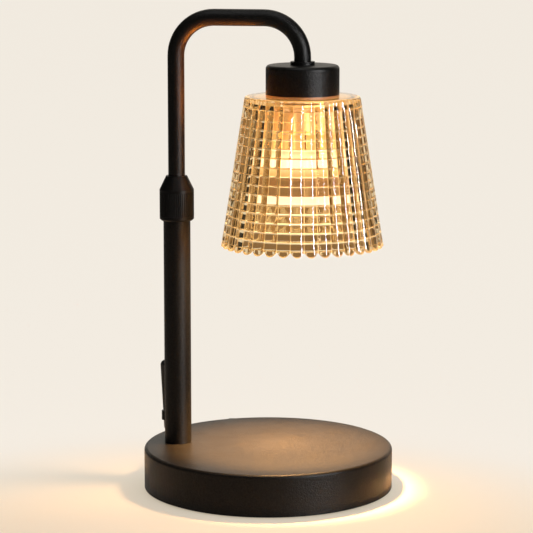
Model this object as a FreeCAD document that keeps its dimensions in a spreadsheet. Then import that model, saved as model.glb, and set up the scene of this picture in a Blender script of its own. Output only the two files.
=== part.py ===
import FreeCAD, Part
import Sketcher
import math
import os

# Candle warmer lamp: a weighted round base, a telescopic pole with a knurled lock nut, a bent
# arm that swivels on the pole, a pressed-glass shade round a GU10 reflector bulb, and a mains
# cord with an in-line dimmer. Millimetres, +Z up. The origin is the centre of the base where
# it meets the table, the pole stands towards -X and the arm points along +X.

SIZES = [
    # the base
    ("base_diameter", 150.0),
    ("base_top", 25.5),
    ("base_edge_round", 2.0),
    ("shell_wall", 1.5),
    ("shell_lift", 1.0),
    ("pad_thickness", 2.0),
    ("pad_inset", 2.5),
    ("weight_clearance", 0.3),
    # how far in from the edge of the base the pole stands
    ("pole_offset", 19.5),
    # the bolt that holds the pole
    ("bolt_diameter", 8.0),
    ("bolt_head_width", 13.0),
    ("bolt_head_height", 5.3),
    ("bolt_grip", 20.0),
    ("bolt_hole_clearance", 0.25),
    ("washer_diameter", 24.0),
    ("washer_thickness", 1.6),
    ("bolt_recess_diameter", 30.0),
    ("bolt_recess_depth", 10.0),
    ("foot_plug_height", 22.0),
    # the telescopic pole
    ("lower_tube_diameter", 16.2),
    ("lower_tube_wall", 1.3),
    ("lower_tube_top", 172.0),
    ("upper_tube_diameter", 10.0),
    ("upper_tube_wall", 1.0),
    ("upper_tube_bottom", 77.0),
    ("lead_gap", 0.3),
    ("running_clearance", 0.05),
    ("bush_height", 14.0),
    ("clip_thickness", 2.0),
    ("clip_width", 1.3),
    ("clip_gap", 0.3),
    # the height lock
    ("nut_diameter", 20.6),
    ("nut_bottom", 162.0),
    ("nut_shoulder", 180.7),
    ("nut_top", 188.9),
    ("nut_top_diameter", 12.6),
    ("nut_bottom_bevel", 1.0),
    ("nut_groove_depth", 0.35),
    ("nut_groove_count", 48.0),
    ("nut_groove_margin", 1.6),
    ("nut_bore_clearance", 0.15),
    ("collet_sleeve_wall", 1.0),
    ("collet_sleeve_height", 10.0),
    ("collet_height", 8.0),
    ("collet_rim", 1.9),
    ("collet_gap", 0.3),
    # the arm
    ("arm_reach", 76.0),
    ("arm_height", 283.5),
    ("arm_bend_radius", 23.0),
    # how far below the top of the arm it ends
    ("arm_end", 25.4),
    # the head
    ("flange_diameter", 14.4),
    ("flange_thickness", 2.0),
    ("cap_diameter", 43.6),
    ("cap_height", 17.3),
    ("cap_wall", 1.2),
    ("cap_round", 2.2),
    ("nipple_diameter", 8.0),
    ("nipple_bore", 6.0),
    ("nipple_in_arm", 2.2),
    ("nipple_hole_clearance", 0.15),
    ("nipple_nut_width", 13.0),
    ("nipple_nut_height", 3.5),
    ("sleeve_diameter", 34.0),
    ("sleeve_wall", 1.0),
    ("sleeve_top_thickness", 1.5),
    ("sleeve_below_glass", 17.8),
    ("holder_clearance", 0.1),
    # how far below the top of the glass the lampholder ends
    ("holder_bottom", 12.6),
    ("holder_recess_clearance", 0.8),
    ("holder_recess_depth", 4.2),
    ("holder_screw_radius", 11.0),
    ("holder_screw_diameter", 3.0),
    ("holder_screw_length", 8.0),
    # the shade
    ("gasket_thickness", 1.0),
    ("shade_height", 89.7),
    ("shade_top_diameter", 68.6),
    ("shade_mouth_diameter", 97.4),
    ("shade_wall", 3.2),
    ("shade_top_thickness", 4.0),
    ("shade_shoulder_round", 2.0),
    ("shade_shoulder_band", 5.0),
    ("flute_count", 36.0),
    ("flute_depth", 1.1),
    ("shade_hole_clearance", 0.4),
    ("ring_washer_thickness", 0.5),
    ("ring_height", 4.0),
    ("ring_diameter", 42.0),
    # the bulb
    # how far below the lampholder the front of the bulb is
    ("bulb_front", 50.2),
    ("bulb_diameter", 50.4),
    ("bulb_rim_height", 5.5),
    ("bulb_wall", 1.5),
    ("bulb_neck_diameter", 25.0),
    ("bulb_neck_height", 32.0),
    ("bulb_base_height", 17.7),
    ("bulb_base_top_diameter", 22.0),
    ("bulb_curve_radius", 42.0),
    ("bulb_lens_thickness", 2.0),
    ("bulb_pin_spacing", 10.0),
    ("bulb_pin_diameter", 3.0),
    ("bulb_pin_head_diameter", 4.8),
    ("bulb_pin_head_height", 2.4),
    ("bulb_pin_length", 7.0),
    ("pin_hole_clearance", 0.2),
    ("capsule_diameter", 9.0),
    ("capsule_height", 24.0),
    # the cord and what is on it
    ("cord_diameter", 4.4),
    ("lead_diameter", 4.4),
    ("cord_angle", 141.0),
    ("relief_elbow_height", 71.5),
    ("relief_end_height", 44.0),
    ("relief_diameter", 6.4),
    ("relief_end_diameter", 4.7),
    ("relief_stem_diameter", 5.0),
    ("relief_flange_diameter", 7.0),
    ("relief_flange_thickness", 1.2),
    ("relief_gap", 0.15),
    ("clamp_height", 5.6),
    ("clamp_bottom", 37.6),
    ("clamp_wall", 1.1),
    ("clamp_pin_diameter", 2.4),
    ("dimmer_length", 48.0),
    ("dimmer_width", 17.0),
    ("dimmer_height", 13.0),
    ("dimmer_wall", 1.5),
    ("dimmer_corner_round", 4.0),
    ("dimmer_edge_round", 1.4),
    ("dimmer_wheel_diameter", 11.6),
    ("dimmer_wheel_thickness", 4.0),
    ("dimmer_wheel_proud", 2.0),
    ("dimmer_wheel_clearance", 0.3),
    ("dimmer_rib_count", 24.0),
    ("dimmer_rib_radius", 0.35),
    ("dimmer_pin_diameter", 3.0),
    ("dimmer_board_thickness", 1.2),
    ("dimmer_cord_depth", 5.0),
    ("plug_length", 24.0),
    ("plug_width", 17.0),
    ("plug_height", 11.6),
    ("plug_cord_height", 6.0),
    ("plug_round", 3.0),
    ("blade_length", 16.0),
    ("blade_width", 6.3),
    ("blade_thickness", 1.5),
    ("blade_spacing", 12.7),
    ("blade_root", 6.0),
    ("hank_run", 74.0),
    ("hank_fold_radius", 13.2),
    ("hank_lanes", 4.0),
    ("hank_upper_lanes", 1.0),
    ("hank_height", 8.3),
    ("tie_place", 23.0),
    ("tie_width", 6.0),
    ("tie_thickness", 0.7),
]

# The stored cord lies behind the base, turned about Z by this many degrees.
STORAGE_TURN = 9.0
DIMMER_PLACE = (-2.0, 84.8)
HANK_PLACE = (0.0, 122.9)
PLUG_PLACE = (-4.0, 122.9)

# The cord's route in three stretches. Each point is (along, behind, height) in the turned frame.
LEAD_ROUTE = [
    (-61.81, 16.45, 44.0),
    (-61.81, 16.45, 34.0),
    (-61.3, 20.9, 30.9),
    (-60.2, 29.5, 30.3),
    (-58.9, 40.5, 30.7),
    (-57.3, 51.1, 29.6),
    (-54.9, 64.9, 23.6),
    (-49.4, 74.5, 16.0),
    (-41.4, 81.2, 9.8),
    (-31.5, 84.8, 6.5),
    (-21.0, 84.8, 6.5),
]
LINK_ROUTE = [
    (17.0, 84.8, 6.5),
    (28.0, 84.8, 6.5),
    (39.8, 88.2, 4.8),
    (50.2, 94.8, 2.8),
    (55.4, 100.6, 2.4),
]
TAIL_ROUTE = [
    (-34.0, 109.0, 6.0),
    (-25.2, 117.8, 6.0),
    (-13.5, 122.9, 6.0),
    (-4.0, 122.9, 6.0),
]

doc = FreeCAD.newDocument("candle_warmer_lamp")
sheet = doc.addObject("Spreadsheet::Sheet", "Dimensions")
for row, (alias, number) in enumerate(SIZES, start=1):
    sheet.set(f"A{row}", alias)
    sheet.set(f"B{row}", str(number))
    sheet.setAlias(f"B{row}", alias)
doc.recompute()


class Size:
    """A number with the expression it comes from, so that a formula is written once."""

    def __init__(self, number, text):
        self.number = number
        self.text = text

    def __add__(self, other):
        other = as_size(other)
        return Size(self.number + other.number, f"({self.text} + {other.text})")

    def __radd__(self, other):
        return as_size(other) + self

    def __sub__(self, other):
        other = as_size(other)
        return Size(self.number - other.number, f"({self.text} - {other.text})")

    def __rsub__(self, other):
        return as_size(other) - self

    def __mul__(self, factor):
        factor = as_size(factor)
        return Size(self.number * factor.number, f"({self.text} * {factor.text})")

    def __rmul__(self, factor):
        return as_size(factor) * self

    def __truediv__(self, divisor):
        divisor = as_size(divisor)
        return Size(self.number / divisor.number, f"({self.text} / {divisor.text})")


def as_size(value):
    return value if isinstance(value, Size) else Size(float(value), f"{float(value):.6f}")


def size(alias):
    """One driving dimension, read from the sheet."""
    return Size(float(sheet.get(alias)), f"Dimensions.{alias}")


def radius_of(alias):
    return size(alias) / 2


# ---------------------------------------------------------------- helpers

PARTS = {}


def keep(node, piece):
    """The finished object of a sub-part gets the node's name as its Label."""
    piece.Label = node
    PARTS[node] = piece
    return piece


def bind(piece, place, value):
    piece.setExpression(place, as_size(value).text)


def move_to(piece, x=0.0, y=0.0, z=0.0):
    """The Placement of a sub-part, bound to the sheet."""
    place = FreeCAD.Vector(as_size(x).number, as_size(y).number, as_size(z).number)
    piece.Placement = FreeCAD.Placement(place, piece.Placement.Rotation)
    bind(piece, "Placement.Base.x", x)
    bind(piece, "Placement.Base.y", y)
    bind(piece, "Placement.Base.z", z)


def origin_plane(body, role):
    return next(plane for plane in body.Origin.OriginFeatures if plane.Role == role)


def new_sketch(body, name, role):
    sketch = body.newObject("Sketcher::SketchObject", name)
    sketch.AttachmentSupport = (origin_plane(body, role), [""])
    sketch.MapMode = "FlatFace"
    return sketch


def pin_point(sketch, edge, end, x, y):
    """Fixes one end of a sketch edge to the two distances, bound to the sheet."""
    for kind, value, axis in (("DistanceX", as_size(x), -2), ("DistanceY", as_size(y), -1)):
        if value.number == 0.0:
            sketch.addConstraint(Sketcher.Constraint("PointOnObject", edge, end, axis))
            continue
        index = sketch.addConstraint(Sketcher.Constraint(kind, -1, 1, edge, end, value.number))
        sketch.setExpression(f"Constraints[{index}]", value.text)


def bulged(start, end, radius):
    """An anticlockwise arc between two points, so it bulges to the right of the way."""
    chord = end - start
    half = chord.Length / 2
    side = FreeCAD.Vector(chord.y, -chord.x, 0).normalize()
    rise = radius - math.sqrt(radius * radius - half * half)
    return Part.Arc(start, (start + end) * 0.5 + side * rise, end)


def outline(sketch, points, arcs=None):
    """A closed outline through the points. arcs gives a segment's number a radius and a side."""
    arcs = arcs or {}
    corners = [FreeCAD.Vector(as_size(x).number, as_size(y).number, 0) for x, y in points]
    total = len(points)
    ends = []
    for index, corner in enumerate(corners):
        following = corners[(index + 1) % total]
        if index not in arcs:
            sketch.addGeometry(Part.LineSegment(corner, following), False)
            ends.append((1, 2))
            continue
        radius, side = arcs[index]
        if side == "right":
            sketch.addGeometry(bulged(corner, following, radius.number), False)
            ends.append((1, 2))
        else:
            sketch.addGeometry(bulged(following, corner, radius.number), False)
            ends.append((2, 1))
    for index, (x, y) in enumerate(points):
        following = (index + 1) % total
        meet = (index, ends[index][1], following, ends[following][0])
        sketch.addConstraint(Sketcher.Constraint("Coincident", *meet))
        pin_point(sketch, index, ends[index][0], x, y)
    for index, (radius, _side) in arcs.items():
        made = sketch.addConstraint(Sketcher.Constraint("Radius", index, radius.number))
        sketch.setExpression(f"Constraints[{made}]", radius.text)


def turned(name, points, arcs=None):
    """A round body from half of its section, as (radius, height) pairs."""
    body = doc.addObject("PartDesign::Body", name)
    sketch = new_sketch(body, name + "_section", "XZ_Plane")
    outline(sketch, points, arcs)
    doc.recompute()
    spin = body.newObject("PartDesign::Revolution", name + "_turned")
    spin.Profile = sketch
    spin.ReferenceAxis = (sketch, ["V_Axis"])
    spin.Angle = 360.0
    body.Tip = spin
    doc.recompute()
    return body


def ring(name, inner, outer, low, high):
    return turned(name, [(inner, low), (outer, low), (outer, high), (inner, high)])


def disc(name, outer, low, high):
    return turned(name, [(0, low), (outer, low), (outer, high), (0, high)])


def bore(body, name, radius, low, high, x=0.0, y=0.0):
    """A round hole along Z through a body."""
    before = body.Tip.Shape.Volume
    tool = body.newObject("PartDesign::SubtractiveCylinder", name)
    bind(tool, "Radius", radius)
    bind(tool, "Height", as_size(high) - low)
    move_to(tool, x, y, low)
    body.Tip = tool
    doc.recompute()
    if not tool.Shape.Volume < before:
        raise ValueError(f"{name} cuts nothing")
    return tool


def round_edges(body, name, radius, where):
    """Rounds the circular edges of a body that lie at (radius, height) in where."""
    base = body.Tip
    names = []
    for number, edge in enumerate(base.Shape.Edges, start=1):
        curve = edge.Curve
        if not isinstance(curve, Part.Circle):
            continue
        for at_radius, at_height in where:
            near_radius = abs(curve.Radius - as_size(at_radius).number) < 1e-3
            near_height = abs(curve.Center.z - as_size(at_height).number) < 1e-3
            if near_radius and near_height:
                names.append(f"Edge{number}")
    if not names:
        raise ValueError(f"{name} found no edge")
    rounded = body.newObject("PartDesign::Fillet", name)
    rounded.Base = (base, names)
    bind(rounded, "Radius", radius)
    body.Tip = rounded
    doc.recompute()
    return rounded


def group(name, pieces):
    """Identical pieces of one node."""
    compound = doc.addObject("Part::Compound", name)
    compound.Links = pieces
    return compound


def hex_nut(name, width, hole_radius, low, high, x):
    """A hexagonal nut. width is across the flats."""
    prism = doc.addObject("Part::Prism", name + "_hexagon")
    prism.Polygon = 6
    bind(prism, "Circumradius", width / math.sqrt(3))
    bind(prism, "Height", high - low)
    move_to(prism, x, 0.0, low)
    hole = doc.addObject("Part::Cylinder", name + "_hole")
    bind(hole, "Radius", hole_radius)
    bind(hole, "Height", high - low)
    move_to(hole, x, 0.0, low)
    nut = doc.addObject("Part::Cut", name)
    nut.Base = prism
    nut.Tool = hole
    return nut


def cylinder(name, radius, low, high, x=0.0, y=0.0):
    rod = doc.addObject("Part::Cylinder", name)
    bind(rod, "Radius", radius)
    bind(rod, "Height", as_size(high) - low)
    move_to(rod, x, y, low)
    return rod


def cut(name, base, tools):
    """base with every tool taken out of it, one after the other."""
    result = base
    for number, tool in enumerate(tools, start=1):
        step = doc.addObject("Part::Cut", name if number == len(tools) else f"{name}_cut{number}")
        step.Base = result
        step.Tool = tool
        result = step
    return result


def fuse(name, pieces):
    joined = doc.addObject("Part::MultiFuse", name)
    joined.Shapes = pieces
    return joined


# ---------------------------------------------------------------- the base

base_radius = radius_of("base_diameter")
shell_inside = base_radius - size("shell_wall")
weight_top = size("base_top") - size("shell_wall")
weight_radius = shell_inside - size("weight_clearance")
pole_x = size("pole_offset") - base_radius
bolt_radius = radius_of("bolt_diameter")
bolt_hole = bolt_radius + size("bolt_hole_clearance")
recess_top = size("pad_thickness") + size("bolt_recess_depth")


def make_base():
    shell = turned("base_shell", [
        (shell_inside, size("shell_lift")),
        (base_radius, size("shell_lift")),
        (base_radius, size("base_top")),
        (0, size("base_top")),
        (0, weight_top),
        (shell_inside, weight_top),
    ])
    round_edges(shell, "shell_round", size("base_edge_round"), [(base_radius, size("base_top"))])
    bore(shell, "shell_bolt_hole", bolt_hole, weight_top - 1, size("base_top") + 1, pole_x)
    keep("base_shell", shell)

    weight = disc("base_weight", weight_radius, size("pad_thickness"), weight_top)
    bore(weight, "weight_recess", radius_of("bolt_recess_diameter"),
         size("pad_thickness") - 1, recess_top, pole_x)
    bore(weight, "weight_bolt_hole", bolt_hole, recess_top - 1, weight_top + 1, pole_x)
    keep("base_weight", weight)

    pad = disc("base_pad", base_radius - size("pad_inset"), 0, size("pad_thickness"))
    keep("base_pad", pad)


def make_pole_bolt():
    washer_low = recess_top - size("washer_thickness")
    washer = ring("pole_washer", bolt_hole, radius_of("washer_diameter"), washer_low, recess_top)
    move_to(washer, pole_x)
    keep("pole_washer", washer)

    head_low = washer_low - size("bolt_head_height")
    head = doc.addObject("Part::Prism", "bolt_head")
    head.Polygon = 6
    bind(head, "Circumradius", size("bolt_head_width") / math.sqrt(3))
    bind(head, "Height", size("bolt_head_height"))
    move_to(head, pole_x, 0.0, head_low)
    bolt_tip = size("base_top") + size("bolt_grip")
    shank = cylinder("bolt_shank", bolt_radius, washer_low, bolt_tip, pole_x)
    keep("pole_bolt", fuse("pole_bolt", [head, shank]))

    plug_top = size("base_top") + size("foot_plug_height")
    plug = ring("foot_plug", bolt_radius, lower_inside, size("base_top"), plug_top)
    move_to(plug, pole_x)
    keep("foot_plug", plug)


# ---------------------------------------------------------------- the pole and the height lock

lower_radius = radius_of("lower_tube_diameter")
lower_inside = lower_radius - size("lower_tube_wall")
upper_radius = radius_of("upper_tube_diameter")
upper_inside = upper_radius - size("upper_tube_wall")
relief_stem = radius_of("relief_stem_diameter")
elbow_reach = lower_radius + size("relief_gap") + radius_of("relief_diameter")
flange_inner = lower_inside - size("relief_flange_thickness")
cord_direction = FreeCAD.Vector(
    math.cos(math.radians(size("cord_angle").number)),
    math.sin(math.radians(size("cord_angle").number)),
    0,
)


def across_pole(name, radius, inner, outer, height):
    """A cylinder that points out of the pole where the cord leaves it."""
    rod = doc.addObject("Part::Cylinder", name)
    bind(rod, "Radius", radius)
    bind(rod, "Height", outer - inner)
    turn = FreeCAD.Rotation(FreeCAD.Vector(0, 0, 1), cord_direction)
    start = FreeCAD.Vector(pole_x.number, 0, 0) + cord_direction * inner.number
    rod.Placement = FreeCAD.Placement(start + FreeCAD.Vector(0, 0, height.number), turn)
    angle = "Dimensions.cord_angle * 1deg"
    across = f"{pole_x.text} + {inner.text} * cos({angle})"
    bind(rod, "Placement.Base.x", Size(start.x, across))
    bind(rod, "Placement.Base.y", Size(start.y, f"{inner.text} * sin({angle})"))
    bind(rod, "Placement.Base.z", height)
    return rod


def make_lower_tube():
    tube = ring("lower_tube_blank", lower_inside, lower_radius, size("base_top"),
                size("lower_tube_top"))
    move_to(tube, pole_x)
    exit_hole = across_pole("exit_hole", relief_stem, lower_inside - 1, lower_radius + 1,
                            size("relief_elbow_height"))
    pin_hole = across_pole("clamp_pin_hole", radius_of("clamp_pin_diameter"),
                           lower_inside - 1, lower_radius + 1,
                           size("clamp_bottom") + size("clamp_height") / 2)
    keep("lower_tube", cut("lower_tube", tube, [exit_hole, pin_hole]))


def make_height_lock():
    nut_radius = radius_of("nut_diameter")
    bevel = size("nut_bottom_bevel")
    sleeve_radius = lower_radius + size("collet_sleeve_wall")
    thread_radius = sleeve_radius + size("running_clearance")
    tube_top = size("lower_tube_top")
    collet_low = tube_top + size("collet_gap")
    collet_top = collet_low + size("collet_height")
    collet_radius = upper_radius + size("running_clearance") + size("collet_rim")
    seat_radius = collet_radius + size("collet_gap")
    nut_hole = upper_radius + size("nut_bore_clearance")
    seat_top = collet_top + size("collet_gap")
    nut = turned("lock_nut", [
        (thread_radius, size("nut_bottom")),
        (nut_radius - bevel, size("nut_bottom")),
        (nut_radius, size("nut_bottom") + bevel),
        (nut_radius, size("nut_shoulder")),
        (radius_of("nut_top_diameter"), size("nut_top")),
        (nut_hole, size("nut_top")),
        (nut_hole, seat_top + 1.5),
        (seat_radius, seat_top),
        (seat_radius, tube_top + size("collet_gap")),
        (thread_radius, tube_top + size("collet_gap")),
    ])
    groove = nut.newObject("PartDesign::SubtractiveCylinder", "nut_groove")
    groove_low = size("nut_bottom") + bevel + size("nut_groove_margin")
    groove_high = size("nut_shoulder") - size("nut_groove_margin")
    bind(groove, "Radius", size("nut_groove_depth"))
    bind(groove, "Height", groove_high - groove_low)
    move_to(groove, nut_radius, 0.0, groove_low)
    pattern = nut.newObject("PartDesign::PolarPattern", "nut_knurl")
    pattern.Originals = [groove]
    pattern.Axis = (next(a for a in nut.Origin.OriginFeatures if a.Role == "Z_Axis"), [""])
    pattern.Angle = 360.0
    bind(pattern, "Occurrences", size("nut_groove_count"))
    nut.Tip = pattern
    move_to(nut, pole_x)
    keep("lock_nut", nut)

    sleeve_low = tube_top - size("collet_sleeve_height")
    sleeve = ring("collet_sleeve", lower_radius, sleeve_radius, sleeve_low + 0.5, tube_top)
    move_to(sleeve, pole_x)
    keep("collet_sleeve", sleeve)

    collet = turned("split_collet", [
        (upper_radius + size("running_clearance"), collet_low),
        (collet_radius, collet_low),
        (collet_radius, collet_top - size("collet_rim") / 2),
        (collet_radius - size("collet_rim") / 2, collet_top),
        (upper_radius + size("running_clearance"), collet_top),
    ])
    move_to(collet, pole_x)
    keep("split_collet", collet)


def make_guide():
    clip = size("clip_thickness")
    bush_low = size("upper_tube_bottom") + clip + size("clip_gap")
    bush_high = bush_low + size("bush_height")
    bush = ring("guide_bush", upper_radius + size("running_clearance"),
                lower_inside - size("running_clearance"), bush_low, bush_high)
    move_to(bush, pole_x)
    keep("guide_bush", bush)
    clip_radius = upper_radius + size("clip_width")
    lows = [size("upper_tube_bottom"), bush_high + size("clip_gap")]
    clips = []
    for number, low in enumerate(lows, start=1):
        made = ring(f"bush_clip{number}", upper_radius, clip_radius, low, low + clip)
        move_to(made, pole_x)
        clips.append(made)
    keep("bush_clips", group("bush_clips", clips))


# ---------------------------------------------------------------- the arm

arm_x = size("arm_reach") + pole_x
arm_low = size("arm_height") - size("arm_end")


def arm_path(body, name, low, end):
    """The centre line of the arm in the XZ plane: up, over and down, with two equal bends."""
    sketch = new_sketch(body, name, "XZ_Plane")
    reach = size("arm_reach")
    bend = size("arm_bend_radius")
    top = size("arm_height")
    points = [
        (0.0, low.number),
        (0.0, (top - bend).number),
        (bend.number, top.number),
        ((reach - bend).number, top.number),
        (reach.number, (top - bend).number),
        (reach.number, end.number),
    ]
    start, rise, left, right, drop, finish = [FreeCAD.Vector(x, z, 0) for x, z in points]
    diagonal = bend.number * (1 - math.sqrt(0.5))
    left_middle = FreeCAD.Vector(diagonal, top.number - diagonal, 0)
    right_middle = FreeCAD.Vector(reach.number - diagonal, top.number - diagonal, 0)
    sketch.addGeometry(Part.LineSegment(start, rise), False)
    sketch.addGeometry(Part.Arc(rise, left_middle, left), False)
    sketch.addGeometry(Part.LineSegment(left, right), False)
    sketch.addGeometry(Part.Arc(right, right_middle, drop), False)
    sketch.addGeometry(Part.LineSegment(drop, finish), False)
    # An arc runs anticlockwise in a sketch, so both bends start at their right-hand end.
    sketch.addConstraint(Sketcher.Constraint("Tangent", 0, 2, 1, 2))
    sketch.addConstraint(Sketcher.Constraint("Tangent", 1, 1, 2, 1))
    sketch.addConstraint(Sketcher.Constraint("Tangent", 2, 2, 3, 2))
    sketch.addConstraint(Sketcher.Constraint("Tangent", 3, 1, 4, 1))
    sketch.addConstraint(Sketcher.Constraint("Vertical", 0))
    sketch.addConstraint(Sketcher.Constraint("Horizontal", 2))
    sketch.addConstraint(Sketcher.Constraint("Vertical", 4))
    sketch.addConstraint(Sketcher.Constraint("Equal", 1, 3))
    pin_point(sketch, 0, 1, 0.0, low)
    pin_point(sketch, 4, 2, reach, end)
    made = sketch.addConstraint(Sketcher.Constraint("Radius", 1, bend.number))
    sketch.setExpression(f"Constraints[{made}]", bend.text)
    made = sketch.addConstraint(Sketcher.Constraint("DistanceY", -1, 1, 2, 1, top.number))
    sketch.setExpression(f"Constraints[{made}]", top.text)
    return sketch


def bent_rod(name, low, end, radii):
    """A tube or rod along the arm's centre line. radii is its outer and, if hollow, inner one."""
    body = doc.addObject("PartDesign::Body", name)
    path = arm_path(body, name + "_path", low, end)
    section = new_sketch(body, name + "_section", "XY_Plane")
    section.AttachmentOffset = FreeCAD.Placement(
        FreeCAD.Vector(0, 0, low.number), FreeCAD.Rotation()
    )
    section.setExpression("AttachmentOffset.Base.z", low.text)
    for index, radius in enumerate(radii):
        circle = Part.Circle(FreeCAD.Vector(0, 0, 0), FreeCAD.Vector(0, 0, 1), radius.number)
        section.addGeometry(circle, False)
        section.addConstraint(Sketcher.Constraint("Coincident", index, 3, -1, 1))
        made = section.addConstraint(Sketcher.Constraint("Radius", index, radius.number))
        section.setExpression(f"Constraints[{made}]", radius.text)
    doc.recompute()
    pipe = body.newObject("PartDesign::AdditivePipe", name + "_pipe")
    pipe.Profile = section
    pipe.Spine = (path, [""])
    body.Tip = pipe
    move_to(body, pole_x)
    doc.recompute()
    return body


def make_arm():
    tube = bent_rod("upper_tube", size("upper_tube_bottom"), arm_low,
                    [upper_radius, upper_inside])
    keep("upper_tube", tube)
    lead_low = size("upper_tube_bottom")
    lead_end = nipple_low + size("nipple_hole_clearance")
    lead = bent_rod("arm_lead", lead_low, lead_end, [radius_of("lead_diameter")])
    keep("arm_lead", lead)
    elbow = size("relief_elbow_height")
    lead_radius = radius_of("lead_diameter")
    upright = cylinder("pole_lead_upright", lead_radius, elbow - lead_radius,
                       lead_low - size("lead_gap"), pole_x)
    across = across_pole("pole_lead_across", lead_radius, as_size(0.0), flange_inner, elbow)
    keep("pole_lead", fuse("pole_lead", [upright, across]))


# ---------------------------------------------------------------- the head

cap_top = arm_low - size("flange_thickness")
cap_bottom = cap_top - size("cap_height")
cap_radius = radius_of("cap_diameter")
nipple_radius = radius_of("nipple_diameter")
nipple_hole = nipple_radius + size("nipple_hole_clearance")
first_nut_top = cap_top - size("cap_wall")
sleeve_top = first_nut_top - size("nipple_nut_height")
sleeve_plate = sleeve_top - size("sleeve_top_thickness")
nipple_low = sleeve_plate - size("nipple_nut_height")
sleeve_radius = radius_of("sleeve_diameter")
sleeve_inside = sleeve_radius - size("sleeve_wall")
shade_top = cap_bottom - size("gasket_thickness")
glass_under = shade_top - size("shade_top_thickness")
holder_radius = sleeve_inside - size("holder_clearance")
holder_low = shade_top - size("holder_bottom")


def make_head():
    flange = ring("flange_ring", nipple_hole, radius_of("flange_diameter"), cap_top, arm_low)
    keep("flange_ring", flange)

    cap = turned("socket_cap", [
        (cap_radius - size("cap_wall"), cap_bottom),
        (cap_radius, cap_bottom),
        (cap_radius, cap_top),
        (nipple_hole, cap_top),
        (nipple_hole, first_nut_top),
        (cap_radius - size("cap_wall"), first_nut_top),
    ])
    round_edges(cap, "cap_edge", size("cap_round"), [(cap_radius, cap_top)])
    keep("socket_cap", cap)

    nipple = ring("head_nipple", radius_of("nipple_bore"), nipple_radius, nipple_low,
                  arm_low + size("nipple_in_arm"))
    keep("head_nipple", nipple)

    nuts = [
        hex_nut("cap_nut", size("nipple_nut_width"), nipple_radius, sleeve_top, first_nut_top,
                arm_x),
        hex_nut("sleeve_nut", size("nipple_nut_width"), nipple_radius, nipple_low, sleeve_plate,
                arm_x),
    ]
    keep("nipple_nuts", group("nipple_nuts", nuts))

    sleeve_low = glass_under - size("sleeve_below_glass")
    sleeve = turned("holder_sleeve", [
        (sleeve_inside, sleeve_low),
        (sleeve_radius, sleeve_low),
        (sleeve_radius, sleeve_top),
        (nipple_hole, sleeve_top),
        (nipple_hole, sleeve_plate),
        (sleeve_inside, sleeve_plate),
    ])
    keep("holder_sleeve", sleeve)
    for piece in (flange, cap, nipple, sleeve):
        move_to(piece, arm_x)


def make_lampholder():
    top = sleeve_plate
    recess = size("nipple_nut_width") / math.sqrt(3) + size("holder_recess_clearance")
    recess_low = top - size("holder_recess_depth")
    holder = turned("lampholder", [
        (0, holder_low),
        (holder_radius, holder_low),
        (holder_radius, top),
        (recess, top),
        (recess, recess_low),
        (0, recess_low),
    ])
    hole_radius = radius_of("bulb_pin_head_diameter") + size("pin_hole_clearance")
    hole_top = holder_low + size("bulb_pin_length") + size("pin_hole_clearance")
    screw_radius = radius_of("holder_screw_diameter")
    screw_low = top - size("holder_screw_length")
    for number, side in enumerate((-1, 1), start=1):
        bore(holder, f"pin_hole{number}", hole_radius, holder_low - 1, hole_top,
             radius_of("bulb_pin_spacing") * side)
        bore(holder, f"screw_hole{number}", screw_radius, screw_low, top + 1, 0.0,
             size("holder_screw_radius") * side)
        bore(PARTS["holder_sleeve"], f"sleeve_screw_hole{number}", screw_radius,
             sleeve_plate - 1, sleeve_top + 1, 0.0, size("holder_screw_radius") * side)
    move_to(holder, arm_x)
    keep("lampholder", holder)

    screws = []
    for number, side in enumerate((-1, 1), start=1):
        screw = turned(f"holder_screw{number}", [
            (0, screw_low),
            (screw_radius, screw_low),
            (screw_radius, sleeve_top),
            (screw_radius * 1.8, sleeve_top),
            (screw_radius * 1.8, sleeve_top + screw_radius),
            (0, sleeve_top + screw_radius),
        ])
        move_to(screw, arm_x, size("holder_screw_radius") * side)
        screws.append(screw)
    keep("holder_screws", group("holder_screws", screws))


# ---------------------------------------------------------------- the shade

mouth_z = shade_top - size("shade_height")
shade_hole = sleeve_radius + size("shade_hole_clearance")


def fluted_ring(crest, depth, count, height):
    """A closed wire of convex flutes round the Z axis."""
    valley = crest - depth
    step = 2 * math.pi / count
    arcs = []
    for number in range(int(count)):
        points = []
        for part, radius in ((0.0, valley), (0.5, crest), (1.0, valley)):
            angle = (number + part) * step
            points.append(
                FreeCAD.Vector(radius * math.cos(angle), radius * math.sin(angle), height)
            )
        arcs.append(Part.Arc(*points).toShape())
    return Part.Wire(arcs)


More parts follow.
